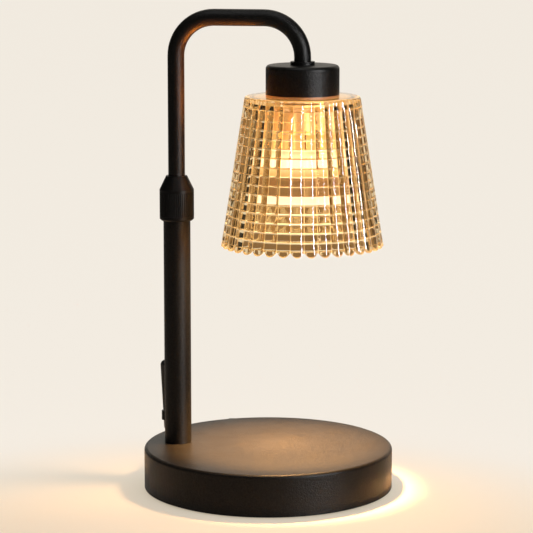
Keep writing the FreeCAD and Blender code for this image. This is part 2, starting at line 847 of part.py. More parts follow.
def make_shade():
    gasket = ring("shade_gasket", shade_hole, cap_radius, shade_top, cap_bottom)
    keep("shade_gasket", gasket)

    band_low = shade_top - size("shade_shoulder_band")
    shade_slope = (radius_of("shade_mouth_diameter") - radius_of("shade_top_diameter")) / (
        size("shade_height")
    )
    flutes = doc.addObject("Part::Feature", "shade_flutes")
    depth = size("flute_depth").number
    count = size("flute_count").number
    band_crest = radius_of("shade_top_diameter") + shade_slope * size("shade_shoulder_band")
    flutes.Shape = Part.makeLoft([
        fluted_ring(radius_of("shade_mouth_diameter").number, depth, count, mouth_z.number),
        fluted_ring(band_crest.number, depth, count, band_low.number),
    ], True, True)
    move_to(flutes, arm_x)

    shoulder = turned("shade_shoulder", [
        (0, band_low),
        (band_crest - size("flute_depth"), band_low),
        (radius_of("shade_top_diameter"), shade_top),
        (0, shade_top),
    ])
    round_edges(shoulder, "shoulder_round", size("shade_shoulder_round"),
                [(radius_of("shade_top_diameter"), shade_top)])
    move_to(shoulder, arm_x)

    inside_top = radius_of("shade_top_diameter") - size("shade_wall")
    inside_mouth = radius_of("shade_mouth_diameter") - size("shade_wall")
    hollow = turned("shade_hollow", [
        (0, mouth_z - 1),
        (inside_mouth + shade_slope, mouth_z - 1),
        (inside_top, glass_under),
        (shade_hole, glass_under),
        (shade_hole, shade_top + 1),
        (0, shade_top + 1),
    ])
    move_to(hollow, arm_x)
    blank = fuse("shade_blank", [flutes, shoulder])
    keep("shade", cut("shade", blank, [hollow]))

    washer_low = glass_under - size("ring_washer_thickness")
    ring_radius = radius_of("ring_diameter")
    washer = ring("ring_washer", sleeve_radius, ring_radius, washer_low, glass_under)
    retainer = ring("shade_ring", sleeve_radius, ring_radius, washer_low - size("ring_height"),
                    washer_low)
    keep("ring_washer", washer)
    keep("shade_ring", retainer)
    for piece in (gasket, washer, retainer):
        move_to(piece, arm_x)


# ---------------------------------------------------------------- the bulb

def make_bulb():
    front = holder_low - size("bulb_front")
    rim_top = front + size("bulb_rim_height")
    rim_radius = radius_of("bulb_diameter")
    wall = size("bulb_wall")
    neck_radius = radius_of("bulb_neck_diameter")
    neck_z = front + size("bulb_neck_height")
    lens_top = front + size("bulb_lens_thickness")
    curve = size("bulb_curve_radius")
    reflector = turned("bulb_reflector", [
        (rim_radius - wall, front),
        (rim_radius, front),
        (rim_radius, rim_top),
        (neck_radius, neck_z),
        (neck_radius - wall, neck_z),
        (rim_radius - wall, rim_top),
    ], {2: (curve, "right"), 4: (curve - wall, "left")})
    keep("bulb_reflector", reflector)

    lens = disc("bulb_lens", rim_radius - wall, front, lens_top)
    keep("bulb_lens", lens)

    base_top = neck_z + size("bulb_base_height")
    base = turned("bulb_base", [
        (0, neck_z),
        (neck_radius, neck_z),
        (radius_of("bulb_base_top_diameter"), base_top),
        (0, base_top),
    ])
    keep("bulb_base", base)

    pins = []
    head_low = base_top + size("bulb_pin_length") - size("bulb_pin_head_height")
    pin_radius = radius_of("bulb_pin_diameter")
    head_radius = radius_of("bulb_pin_head_diameter")
    for number, side in enumerate((-1, 1), start=1):
        pin = turned(f"bulb_pin{number}", [
            (0, base_top),
            (pin_radius, base_top),
            (pin_radius, head_low),
            (head_radius, head_low),
            (head_radius, base_top + size("bulb_pin_length")),
            (0, base_top + size("bulb_pin_length")),
        ])
        move_to(pin, arm_x + radius_of("bulb_pin_spacing") * side)
        pins.append(pin)
    keep("bulb_pins", group("bulb_pins", pins))

    capsule_radius = radius_of("capsule_diameter")
    capsule = disc("bulb_capsule", capsule_radius, neck_z - size("capsule_height"), neck_z)
    round_edges(capsule, "capsule_tip", capsule_radius * 0.9,
                [(capsule_radius, neck_z - size("capsule_height"))])
    keep("bulb_capsule", capsule)
    for piece in (reflector, lens, base, capsule):
        move_to(piece, arm_x)


# ---------------------------------------------------------------- the strain relief and clamp

def on_cord_side(reach, height):
    """A point beside the pole, that far from its axis, where the cord leaves it."""
    return FreeCAD.Vector(pole_x.number, 0, height.number) + cord_direction * reach.number


def domed_cone(radius, end_radius, length):
    """A cone along +Z with a half-round dome behind its thick end."""
    slant = radius * math.sqrt(0.5)
    tip = FreeCAD.Vector(0, 0, -radius)
    shoulder = FreeCAD.Vector(slant, 0, -slant)
    wide = FreeCAD.Vector(radius, 0, 0)
    narrow = FreeCAD.Vector(end_radius, 0, length)
    middle = FreeCAD.Vector(0, 0, length)
    edges = [
        Part.Arc(tip, shoulder, wide).toShape(),
        Part.LineSegment(wide, narrow).toShape(),
        Part.LineSegment(narrow, middle).toShape(),
        Part.LineSegment(middle, tip).toShape(),
    ]
    half = Part.Face(Part.Wire(edges))
    return half.revolve(FreeCAD.Vector(0, 0, 0), FreeCAD.Vector(0, 0, 1), 360)


def make_strain_relief():
    elbow_radius = radius_of("relief_diameter")
    elbow = on_cord_side(elbow_reach, size("relief_elbow_height"))
    end_reach = lower_radius + size("relief_gap") + radius_of("relief_end_diameter")
    end = on_cord_side(end_reach, size("relief_end_height"))
    way = end - elbow
    taper = domed_cone(elbow_radius.number, radius_of("relief_end_diameter").number, way.Length)
    taper.Placement = FreeCAD.Placement(
        elbow, FreeCAD.Rotation(FreeCAD.Vector(0, 0, 1), way)
    )
    stem = Part.makeCylinder(relief_stem.number, elbow_reach.number - flange_inner.number,
                             on_cord_side(flange_inner, size("relief_elbow_height")),
                             cord_direction)
    flange = Part.makeCylinder(radius_of("relief_flange_diameter").number,
                               size("relief_flange_thickness").number,
                               on_cord_side(flange_inner, size("relief_elbow_height")),
                               cord_direction)
    pole_bore = Part.makeCylinder(lower_inside.number, size("relief_diameter").number * 4,
                                  FreeCAD.Vector(pole_x.number, 0,
                                                 size("relief_elbow_height").number
                                                 - size("relief_diameter").number * 2))
    relief = doc.addObject("Part::Feature", "strain_relief")
    relief.Shape = taper.fuse([stem, flange.common(pole_bore)])
    keep("strain_relief", relief)


def make_cord_clamp():
    cord_reach = lower_radius + size("relief_gap") + radius_of("cord_diameter")
    low = size("clamp_bottom")
    middle = low + size("clamp_height") / 2
    outer = radius_of("cord_diameter") + size("clamp_wall")
    place = on_cord_side(cord_reach, low)
    height = size("clamp_height").number
    loop = Part.makeCylinder(outer.number, height, place)
    pin = Part.makeCylinder(radius_of("clamp_pin_diameter").number,
                            cord_reach.number - lower_inside.number,
                            on_cord_side(lower_inside, middle), cord_direction)
    pole = Part.makeCylinder(lower_radius.number, height,
                             FreeCAD.Vector(pole_x.number, 0, low.number))
    cord_hole = Part.makeCylinder(radius_of("cord_diameter").number, height, place)
    clamp = doc.addObject("Part::Feature", "cord_clamp")
    clamp.Shape = loop.cut(pole).fuse(pin).cut(cord_hole)
    keep("cord_clamp", clamp)


# ---------------------------------------------------------------- the cord

def stored(point):
    """A point of the stored cord's turned frame, in the lamp's frame."""
    turn = FreeCAD.Rotation(FreeCAD.Vector(0, 0, 1), STORAGE_TURN)
    return turn.multVec(FreeCAD.Vector(*point))


def place_stored(piece, place):
    """Turns a sub-part made about the origin into its place behind the base."""
    turn = FreeCAD.Rotation(FreeCAD.Vector(0, 0, 1), STORAGE_TURN)
    piece.Placement = FreeCAD.Placement(stored((place[0], place[1], 0)), turn)


def cord_tube(name, route):
    """A tube of straight runs joined by tangent arcs."""
    points = [stored(point) for point in route]
    edges = []
    start = points[0]
    for before, corner, after in zip(points, points[1:], points[2:]):
        into = corner - before
        out = after - corner
        turn = into.getAngle(out)
        shorter = min(into.Length, out.Length)
        cut_back = 0.45 * shorter
        bend = cut_back / math.tan(turn / 2)
        first = corner - into.normalize() * cut_back
        last = corner + out.normalize() * cut_back
        inward = (out - into).normalize()
        rise = bend / math.cos(turn / 2) - bend
        edges.append(Part.LineSegment(start, first).toShape())
        edges.append(Part.Arc(first, corner + inward * rise, last).toShape())
        start = last
    edges.append(Part.LineSegment(start, points[-1]).toShape())
    path = Part.Wire(edges)
    radius = radius_of("cord_diameter").number
    section = Part.Circle(points[0], points[1] - points[0], radius).toShape()
    tube = doc.addObject("Part::Feature", name)
    tube.Shape = path.makePipeShell([Part.Wire([section])], True, True)
    expected = math.pi * radius * radius * path.Length
    share = tube.Shape.Volume / expected
    if abs(share - 1) > 0.01:
        raise ValueError(f"{name} isn't as large as its section times its length")
    keep(name, tube)


def racetrack(run, radius, low, high):
    """A flat solid with half-round ends, centred on the origin."""
    half = run / 2
    a = FreeCAD.Vector(-half, -radius, low)
    b = FreeCAD.Vector(half, -radius, low)
    c = FreeCAD.Vector(half + radius, 0, low)
    d = FreeCAD.Vector(half, radius, low)
    e = FreeCAD.Vector(-half, radius, low)
    f = FreeCAD.Vector(-half - radius, 0, low)
    edges = [
        Part.LineSegment(a, b).toShape(),
        Part.Arc(b, c, d).toShape(),
        Part.LineSegment(d, e).toShape(),
        Part.Arc(e, f, a).toShape(),
    ]
    return Part.Face(Part.Wire(edges)).extrude(FreeCAD.Vector(0, 0, high - low))


def make_cord():
    cord_tube("cord_lead", LEAD_ROUTE)
    cord_tube("cord_link", LINK_ROUTE)
    cord_tube("cord_tail", TAIL_ROUTE)

    run = size("hank_run").number
    height = size("hank_height").number
    lane = size("cord_diameter").number
    inner = size("hank_fold_radius").number - lane / 2
    outer = inner + size("hank_lanes").number * lane
    upper_inner = inner + lane / 2
    upper_outer = upper_inner + size("hank_upper_lanes").number * lane
    lower_layer = racetrack(run, outer, 0.0, lane).cut(racetrack(run, inner, 0.0, lane))
    upper_layer = racetrack(run, upper_outer, lane, height).cut(
        racetrack(run, upper_inner, lane, height)
    )
    hank = doc.addObject("Part::Feature", "cord_hank")
    hank.Shape = lower_layer.fuse(upper_layer)
    place_stored(hank, HANK_PLACE)
    keep("cord_hank", hank)

    wall = size("tie_thickness").number
    start = -size("tie_place").number - size("tie_width").number / 2
    band = FreeCAD.Vector(size("tie_width").number, 0, 0)

    def arch(wide, narrow, shoulder, top):
        corners = [(-wide, 0), (-wide, shoulder), (-narrow, top), (narrow, top),
                   (wide, shoulder), (wide, 0), (-wide, 0)]
        loop = Part.makePolygon([FreeCAD.Vector(start, y, z) for y, z in corners])
        return Part.Face(loop).extrude(band)

    tie = doc.addObject("Part::Feature", "hank_tie")
    around = arch(outer + wall, upper_outer + wall / 2, lane + wall / 2, height + wall)
    tie.Shape = around.cut(arch(outer, upper_outer, lane, height))
    place_stored(tie, HANK_PLACE)
    keep("hank_tie", tie)


# ---------------------------------------------------------------- the dimmer and the plug

def rounded_block(length, width, low, high, corner):
    block = Part.makeBox(length, width, high - low, FreeCAD.Vector(-length / 2, -width / 2, low))
    upright = [edge for edge in block.Edges
               if abs(edge.Vertexes[0].Z - edge.Vertexes[1].Z) > 0.5 * (high - low)]
    return block.makeFillet(corner, upright)


def across_case(radius, length, height):
    """A cylinder across the dimmer's width, centred on its middle."""
    return Part.makeCylinder(radius, length, FreeCAD.Vector(0, -length / 2, height),
                             FreeCAD.Vector(0, 1, 0))


def make_dimmer():
    length = size("dimmer_length").number
    width = size("dimmer_width").number
    height = size("dimmer_height").number
    wall = size("dimmer_wall").number
    corner = size("dimmer_corner_round").number
    middle = height / 2
    clearance = size("dimmer_wheel_clearance").number
    wheel_radius = radius_of("dimmer_wheel_diameter").number
    wheel_width = size("dimmer_wheel_thickness").number
    wheel_z = height + size("dimmer_wheel_proud").number - wheel_radius
    pin_radius = radius_of("dimmer_pin_diameter").number
    cord_radius = radius_of("cord_diameter").number
    cord_depth = size("dimmer_cord_depth").number

    whole = rounded_block(length, width, 0.0, height, corner)
    rims = [edge for edge in whole.Edges if edge.BoundBox.ZLength < 1e-3]
    whole = whole.makeFillet(size("dimmer_edge_round").number, rims)
    hollow = rounded_block(length - 2 * cord_depth, width - 2 * wall, wall, height - wall,
                           corner - wall)
    slot = across_case(wheel_radius + clearance, wheel_width + 2 * clearance, wheel_z)
    cord_bore = Part.makeCylinder(cord_radius, length + 2,
                                  FreeCAD.Vector(-length / 2 - 1, 0, middle),
                                  FreeCAD.Vector(1, 0, 0))
    pin = across_case(pin_radius, width - wall, wheel_z)
    case = whole.cut(hollow).fuse(pin).cut(slot).cut(cord_bore)
    running = size("running_clearance").number
    pivot = across_case(pin_radius - running, wheel_width + 3 * clearance, wheel_z)
    case = case.fuse(pivot)
    far = 2 * length
    lower = Part.makeBox(far, far, middle, FreeCAD.Vector(-length, -length, 0))
    upper = Part.makeBox(far, far, middle, FreeCAD.Vector(-length, -length, middle))
    for node, half in (("dimmer_lower_case", lower), ("dimmer_upper_case", upper)):
        shell = doc.addObject("Part::Feature", node)
        shell.Shape = case.common(half).removeSplitter()
        place_stored(shell, DIMMER_PLACE)
        keep(node, shell)

    ribs = []
    rib_count = int(size("dimmer_rib_count").number)
    for number in range(rib_count):
        angle = 2 * math.pi * number / rib_count
        centre = FreeCAD.Vector(wheel_radius * math.cos(angle), -wheel_width,
                                wheel_z + wheel_radius * math.sin(angle))
        ribs.append(Part.makeCylinder(size("dimmer_rib_radius").number, 2 * wheel_width, centre,
                                      FreeCAD.Vector(0, 1, 0)))
    rim = across_case(wheel_radius, wheel_width, wheel_z)
    wheel = doc.addObject("Part::Feature", "dimmer_wheel")
    wheel.Shape = rim.cut(ribs).cut(across_case(pin_radius, 2 * wheel_width, wheel_z))
    place_stored(wheel, DIMMER_PLACE)
    keep("dimmer_wheel", wheel)

    board_length = length - 2 * cord_depth - 2 * clearance
    board_width = width - 2 * wall - 2 * clearance
    board = doc.addObject("Part::Feature", "dimmer_board")
    board_top = wall + size("dimmer_board_thickness").number
    board.Shape = rounded_block(board_length, board_width, wall, board_top, corner - wall)
    place_stored(board, DIMMER_PLACE)
    keep("dimmer_board", board)


def make_plug():
    length = size("plug_length").number
    width = size("plug_width").number
    height = size("plug_height").number
    middle = size("plug_cord_height").number
    body = Part.makeBox(length, width, height, FreeCAD.Vector(0, -width / 2, 0))
    along = [edge for edge in body.Edges
             if abs(edge.Vertexes[0].X - edge.Vertexes[1].X) > 0.5 * length]
    body = body.makeFillet(size("plug_round").number, along)
    blades = []
    blade_length = size("blade_length").number
    thickness = size("blade_thickness").number
    blade_width = size("blade_width").number
    for side in (-1, 1):
        corner = FreeCAD.Vector(length - size("blade_root").number,
                                side * radius_of("blade_spacing").number - thickness / 2,
                                middle - blade_width / 2)
        blades.append(Part.makeBox(blade_length + size("blade_root").number, thickness,
                                   blade_width, corner))
    plug = doc.addObject("Part::Feature", "plug_body")
    plug.Shape = body.cut(blades)
    place_stored(plug, PLUG_PLACE)
    keep("plug_body", plug)
    pair = doc.addObject("Part::Feature", "plug_blades")
    pair.Shape = Part.makeCompound(blades)
    place_stored(pair, PLUG_PLACE)
    keep("plug_blades", pair)


# ---------------------------------------------------------------- build, check and write

make_base()
make_pole_bolt()
make_lower_tube()
make_height_lock()
make_guide()
make_arm()
make_head()
make_lampholder()
make_shade()
make_bulb()
make_strain_relief()
make_cord_clamp()
make_cord()
make_dimmer()
make_plug()
doc.recompute()

for item in doc.Objects:
    if "Invalid" in item.State or "Error" in item.State:
        raise ValueError(f"{item.Name} failed: {item.State}")
os.makedirs("parts", exist_ok=True)
for node, piece in PARTS.items():
    shape = piece.Shape
    if shape.isNull() or not shape.isValid() or not shape.Solids:
        raise ValueError(f"{node} has no valid solid")
for node, piece in PARTS.items():
    piece.Shape.exportStep(f"parts/{node}.step")
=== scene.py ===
import math

import bmesh
import bpy
from bpy.props import FloatProperty, FloatVectorProperty, IntProperty, PointerProperty
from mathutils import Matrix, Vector


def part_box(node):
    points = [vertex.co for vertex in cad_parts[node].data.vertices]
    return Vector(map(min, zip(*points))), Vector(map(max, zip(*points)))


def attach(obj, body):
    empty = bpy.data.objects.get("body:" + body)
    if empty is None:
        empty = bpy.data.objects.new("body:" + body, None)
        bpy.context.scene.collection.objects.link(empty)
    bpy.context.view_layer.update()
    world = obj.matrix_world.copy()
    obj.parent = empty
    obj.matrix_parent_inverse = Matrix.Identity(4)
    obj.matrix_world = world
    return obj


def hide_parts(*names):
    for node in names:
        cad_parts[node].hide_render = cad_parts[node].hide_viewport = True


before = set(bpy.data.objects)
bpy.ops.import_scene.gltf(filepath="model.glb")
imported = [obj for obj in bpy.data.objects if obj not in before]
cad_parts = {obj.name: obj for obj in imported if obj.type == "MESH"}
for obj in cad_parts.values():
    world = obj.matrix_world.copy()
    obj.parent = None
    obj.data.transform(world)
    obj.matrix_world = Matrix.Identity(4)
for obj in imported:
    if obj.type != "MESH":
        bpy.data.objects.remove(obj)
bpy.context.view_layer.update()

bl_info = {
    "name": "Candle Warmer Lamp",
    "version": (1, 0, 0),
    "blender": (4, 5, 0),
    "location": "3D View > Sidebar > Warmer Lamp",
    "description": "Dresses the lamp's packed frame with its glass, finishes, cord and light",
    "category": "Object",
}

MM = 0.001
SHADE_LOW, SHADE_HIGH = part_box("shade")
SHADE_X = (SHADE_LOW.x + SHADE_HIGH.x) / 2
BULB_LOW, BULB_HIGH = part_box("bulb_reflector")
BASE_TOP = 25.5 * MM


# ------------------------------------------------------------------ colours and nodes

def linear(code):
    """The linear colour of an sRGB hex value such as "#1C1B1A". A colour that is linear
    already, such as one from the settings, is passed on."""
    if not isinstance(code, str):
        return tuple(code)
    parts = [int(code[i:i + 2], 16) / 255 for i in (1, 3, 5)]
    curve = [c / 12.92 if c <= 0.04045 else ((c + 0.055) / 1.055) ** 2.4 for c in parts]
    return (*curve, 1.0)


def darker(colour, share):
    """A share of a linear colour's light."""
    return (*[share * part for part in colour[:3]], 1.0)


def add(tree, kind, inputs=None, links=None, **settings):
    """A node with its settings, its socket values and its links, in one call."""
    node = tree.nodes.new(kind)
    for name, value in settings.items():
        setattr(node, name, value)
    for name, value in (inputs or {}).items():
        node.inputs[name].default_value = value
    for name, socket in (links or {}).items():
        tree.links.new(socket, node.inputs[name])
    return node


def blend(tree, share, first, second):
    """A mix of two shaders by a socket's value: the first at 0, the second at 1."""
    mix = add(tree, "ShaderNodeMixShader", links={"Fac": share})
    tree.links.new(first.outputs[0], mix.inputs[1])
    tree.links.new(second.outputs[0], mix.inputs[2])
    return mix


def ramp(tree, socket, stops):
    """A colour ramp over a 0 to 1 value; stops are (place, colour)."""
    node = add(tree, "ShaderNodeValToRGB", links={"Fac": socket})
    first, last = node.color_ramp.elements[0], node.color_ramp.elements[-1]
    first.position, first.color = stops[0][0], linear(stops[0][1])
    last.position, last.color = stops[-1][0], linear(stops[-1][1])
    for place, code in stops[1:-1]:
        node.color_ramp.elements.new(place).color = linear(code)
    return node


def new_material(name):
    material = bpy.data.materials.new(name)
    material.use_nodes = True
    material.node_tree.nodes.clear()
    return material, material.node_tree


def finish_surface(tree, shader):
    add(tree, "ShaderNodeOutputMaterial", links={"Surface": shader.outputs[0]})


PATCH = 18 * MM  # size of the patches in which a finish is a little shinier or duller


def grained(name, light, dark, roughness, grain, bump, metallic=0.0, spread=0.08, sheen=0.0,
            gloss=0.5):
    """A finish with a fine grain: two close colours, a varied roughness and a bump.
    grain is the size of the grain in millimetres and bump its height. spread is how far the
    roughness varies, and gloss how strongly the surface mirrors."""
    material, tree = new_material(name)
    place = add(tree, "ShaderNodeTexCoord")
    speck = add(tree, "ShaderNodeTexNoise", {"Scale": 1 / (grain * MM), "Detail": 3.0,
                                             "Roughness": 0.6},
                {"Vector": place.outputs["Object"]})
    patches = add(tree, "ShaderNodeTexNoise", {"Scale": 1 / PATCH, "Detail": 2.0},
                  {"Vector": place.outputs["Object"]})
    colour = ramp(tree, speck.outputs["Fac"], [(0.3, dark), (0.7, light)])
    rough = add(tree, "ShaderNodeMapRange", {"From Min": 0.3, "From Max": 0.7,
                                             "To Min": roughness - spread,
                                             "To Max": roughness + spread},
                {"Value": patches.outputs["Fac"]})
    relief = add(tree, "ShaderNodeBump", {"Strength": 1.0, "Distance": bump * MM},
                 {"Height": speck.outputs["Fac"]})
    surface = add(tree, "ShaderNodeBsdfPrincipled",
                  {"Metallic": metallic, "Sheen Weight": sheen, "Specular IOR Level": gloss},
                  {"Base Color": colour.outputs["Color"], "Roughness": rough.outputs["Result"],
                   "Normal": relief.outputs["Normal"]})
    finish_surface(tree, surface)
    return material


def dress(material, *nodes):
    """Gives CAD nodes a finish; their shapes stay as they are."""
    for name in nodes:
        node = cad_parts[name]
        node.data.materials.clear()
        node.data.materials.append(material)


def facing(direction):
    """The rotation of a camera or a light that looks along a direction."""
    return direction.to_track_quat("-Z", "Y").to_euler()


# ------------------------------------------------------------------ settings

class LampSettings(bpy.types.PropertyGroup):
    """Colours and light of the lamp that someone would change"""

    coat_colour: FloatVectorProperty(
        name="Coat Colour", description="Colour of the powder coat", subtype="COLOR", size=4,
        min=0.0, max=1.0, default=linear("#1E1C1A"))
    glow_colour: FloatVectorProperty(
        name="Glow Colour", description="Colour of the bulb's light", subtype="COLOR", size=4,
        min=0.0, max=1.0, default=linear("#FFC078"))
    glow_power: FloatProperty(
        name="Glow Power", description="Power of the beam that falls on the base", unit="POWER",
        min=0.0, default=32.0)
    spill_colour: FloatVectorProperty(
        name="Spill Colour", description="Colour of the light that the shade spills on the floor",
        subtype="COLOR", size=4, min=0.0, max=1.0, default=linear("#FFC88A"))
    back_glow_colour: FloatVectorProperty(
        name="Back Glow Colour", description="Colour of the light from the back of the bulb",
        subtype="COLOR", size=4, min=0.0, max=1.0, default=linear("#FFAA5C"))
    floor_colour: FloatVectorProperty(
        name="Floor Colour", description="Colour of the surface that it stands on",
        subtype="COLOR", size=4, min=0.0, max=1.0, default=linear("#F6EFE4"))


class ShadeSettings(bpy.types.PropertyGroup):
    """Sizes of the pressed-glass shade"""

    flutes: IntProperty(
        name="Flutes", description="Number of flutes round the shade", min=12, default=36)
    flute_depth: FloatProperty(
        name="Flute Depth", description="Depth of the valleys between the flutes",
        subtype="DISTANCE", unit="LENGTH", default=1.35 * MM)
    wall: FloatProperty(
        name="Wall", description="Thickness of the glass wall", subtype="DISTANCE",
        unit="LENGTH", default=3.2 * MM)
    row_pitch: FloatProperty(
        name="Row Pitch", description="Height of each ring pressed in the inside",
        subtype="DISTANCE", unit="LENGTH", default=5.3 * MM)
    row_height: FloatProperty(
        name="Row Height", description="How far each ring swells inwards",
        subtype="DISTANCE", unit="LENGTH", default=0.42 * MM)
    step: FloatProperty(
        name="Step", description="How much thicker the top is where it meets the wall",
        subtype="DISTANCE", unit="LENGTH", default=2.4 * MM)
    scallop: FloatProperty(
        name="Scallop", description="Rise of the notches in the rim", subtype="DISTANCE",
        unit="LENGTH", default=2.6 * MM)
    slices: IntProperty(
        name="Slices", description="Mesh slices across each flute", min=4, default=10)


class CordSettings(bpy.types.PropertyGroup):
    """Size and colour of the mains cord"""

    diameter: FloatProperty(
        name="Diameter", description="Outside diameter of the cord", subtype="DISTANCE",
        unit="LENGTH", default=4.4 * MM)
    length: FloatProperty(
        name="Length", description="Real length of the cord", subtype="DISTANCE",
        unit="LENGTH", default=1.47)
    colour: FloatVectorProperty(
        name="Colour", description="Colour of the cord's sheath", subtype="COLOR", size=4,
        min=0.0, max=1.0, default=linear("#222223"))


# ------------------------------------------------------------------ the camera

LENS, SENSOR = 161.2, 36.0  # in millimetres, as Blender has them
CAMERA_PLACE = (0.2195, -1.3920, 0.3719)
CAMERA_AIM = (-0.0010, -0.0002, 0.1351)


class WARMER_OT_camera(bpy.types.Operator):
    """Set the camera in front of the lamp, a little above it"""

    bl_idname = "warmer.camera"
    bl_label = "Camera"

    def execute(self, context):
        data = bpy.data.cameras.new("lamp_camera")
        data.lens = LENS
        data.sensor_width = SENSOR
        camera = bpy.data.objects.new("lamp_camera", data)
        camera.location = CAMERA_PLACE
        camera.rotation_euler = facing(Vector(CAMERA_AIM) - camera.location)
        context.scene.collection.objects.link(camera)
        context.scene.camera = camera
        return {"FINISHED"}


# ------------------------------------------------------------------ the cord

# The cord is put away behind the base. Its points are in millimetres, before this turn
# about the middle of the base.
STORAGE_TURN = math.radians(9.0)
# From the strain relief down to the floor, and along it to the dimmer
LEAD_ROUTE = [
    (-61.81, 16.45, 44.0), (-61.81, 16.45, 34.0), (-61.3, 20.9, 30.9), (-60.2, 29.5, 30.3),
    (-58.9, 40.5, 30.7), (-57.3, 51.1, 29.6), (-54.9, 64.9, 23.6), (-49.4, 74.5, 16.0),
    (-41.4, 81.2, 9.8), (-31.5, 84.8, 6.5), (-21.0, 84.8, 6.5),
]
# From the dimmer to the hank
LINK_ROUTE = [
    (17.0, 84.8, 6.5), (28.0, 84.8, 6.5), (39.8, 88.2, 4.8), (50.2, 94.8, 2.8),
    (55.4, 100.6, 2.4),
]
# From the hank to the plug, which lies on it
TAIL_ROUTE = [(-34.0, 109.0, 6.0), (-25.2, 117.8, 6.0), (-13.5, 122.9, 6.0), (-4.0, 122.9, 6.0)]
# The hank: its middle, half its straight run, and how far each lane is from its long middle
HANK_X, HANK_Y = 0.0, 122.9
HANK_HALF_RUN = 34.0
LOWER_LANES = [26.4, 22.0, 17.6, 11.0]
UPPER_LANE = 14.3
# Heights of the cord's middle: on the floor, after the climb, in the groove, and at the end
ON_FLOOR, CLIMBED, IN_GROOVE, AT_END = 2.2, 5.8, 5.2, 6.0
# The way over the front run into the groove, from the hank's middle
CROSSING = [(0.0, -12.6, 6.8), (20.0, -13.8, 6.2)]
# The spline runs inside points that are 30 degrees apart, at this share of their radius
SPLINE_SHARE = 0.966


def turned_in(point):
    """A point of the put-away cord, in metres in the lamp's frame."""
    u, v, z = point
    c, s = math.cos(STORAGE_TURN), math.sin(STORAGE_TURN)
    return ((u * c - v * s) * MM, (u * s + v * c) * MM, z * MM)


def fold(side, radius, heights, angles=range(-90, 91, 30)):
    """The points of one fold of the hank. side is 1 for the fold on the right and -1 for the
    one on the left, and the angles run through it from -90 to 90 degrees."""
    points = []
    low, high = heights
    for angle in angles:
        reach = radius if abs(angle) == 90 else radius / SPLINE_SHARE
        z = low + (high - low) * (angle + 90) / 180
        around = math.radians(angle if side > 0 else angle + 180)
        points.append((HANK_X + side * HANK_HALF_RUN + reach * math.cos(around),
                       HANK_Y + reach * math.sin(around), z))
    return points


def hank_points():
    """The hank: four lanes on the floor, from the outside in, then one in the groove that
    they leave, which it reaches over the front run."""
    points = []
    flat = (ON_FLOOR, ON_FLOOR)
    for lane in LOWER_LANES:
        first = lane == LOWER_LANES[0]
        last = lane == LOWER_LANES[-1]
        points += fold(1, lane, flat, range(-30 if first else -90, 91, 30))
        points += fold(-1, lane, (ON_FLOOR, CLIMBED) if last else flat)
    points += [(HANK_X + u, HANK_Y + v, z) for u, v, z in CROSSING]
    points += fold(1, UPPER_LANE, (IN_GROOVE, IN_GROOVE))
    points += fold(-1, UPPER_LANE, (IN_GROOVE, AT_END), range(-90, 61, 30))
    return points


class WARMER_OT_cord(bpy.types.Operator):
    """Lay the mains cord from the strain relief through the dimmer to the plug"""

    bl_idname = "warmer.cord"
    bl_label = "Cord"

    def execute(self, context):
        settings = context.scene.warmer_cord
        data = bpy.data.curves.new("mains_cord", "CURVE")
        data.dimensions = "3D"
        data.bevel_depth = settings.diameter / 2
        data.bevel_resolution = 5
        data.resolution_u = 10
        data.use_fill_caps = True
        route = [turned_in(p) for p in LEAD_ROUTE + LINK_ROUTE + hank_points() + TAIL_ROUTE]
        spline = data.splines.new("NURBS")
        spline.points.add(len(route) - 1)
        for point, place in zip(spline.points, route):
            point.co = (*place, 1.0)
        spline.order_u = 3
        spline.use_endpoint_u = True
        cord = bpy.data.objects.new("mains_cord", data)
        context.scene.collection.objects.link(cord)

        # PVC, extruded: soft grey-black with a low, even shine
        sheath = grained("PVC cord sheath, extruded", settings.colour,
                         darker(settings.colour, 0.5), 0.42, 2.2, 0.02)
        data.materials.append(sheath)
        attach(cord, "stand")
        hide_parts("cord_lead", "cord_link", "cord_tail", "cord_hank")

        # PVC, moulded over the plug's pins: matt with a fine spark-eroded texture
        dress(grained("PVC plug, moulded", "#252526", "#19191A", 0.5, 0.8, 0.03), "plug_body")
        # Brass, nickel-plated: bright, warm-grey and smooth
        dress(grained("Nickel-plated brass, stamped", "#C9C3B8", "#BDB6A9", 0.24, 1.5, 0.004,
                      metallic=1.0), "plug_blades")
        # Nylon, moulded: a tie with a dull shine
        dress(grained("Nylon tie, moulded", "#2A2A2B", "#202021", 0.45, 1.0, 0.02), "hank_tie")
        # ABS, moulded with a fine texture: warm black that shines softly
        dress(grained("ABS dimmer case, moulded", "#262524", "#1B1A1A", 0.46, 0.7, 0.03),
              "dimmer_lower_case", "dimmer_upper_case")
        # ABS, moulded and polished: the ribbed wheel shines a little more than its case
        dress(grained("ABS thumb wheel, moulded", "#3A3938", "#2E2D2C", 0.35, 1.2, 0.01),
              "dimmer_wheel")
        # Glass-fibre board with a green solder mask: an even green under a thin resin shine
        dress(grained("Circuit board, green solder mask", "#2F6B45", "#22553A", 0.4, 3.0, 0.02),
              "dimmer_board")
        return {"FINISHED"}


# ------------------------------------------------------------------ the coated stand

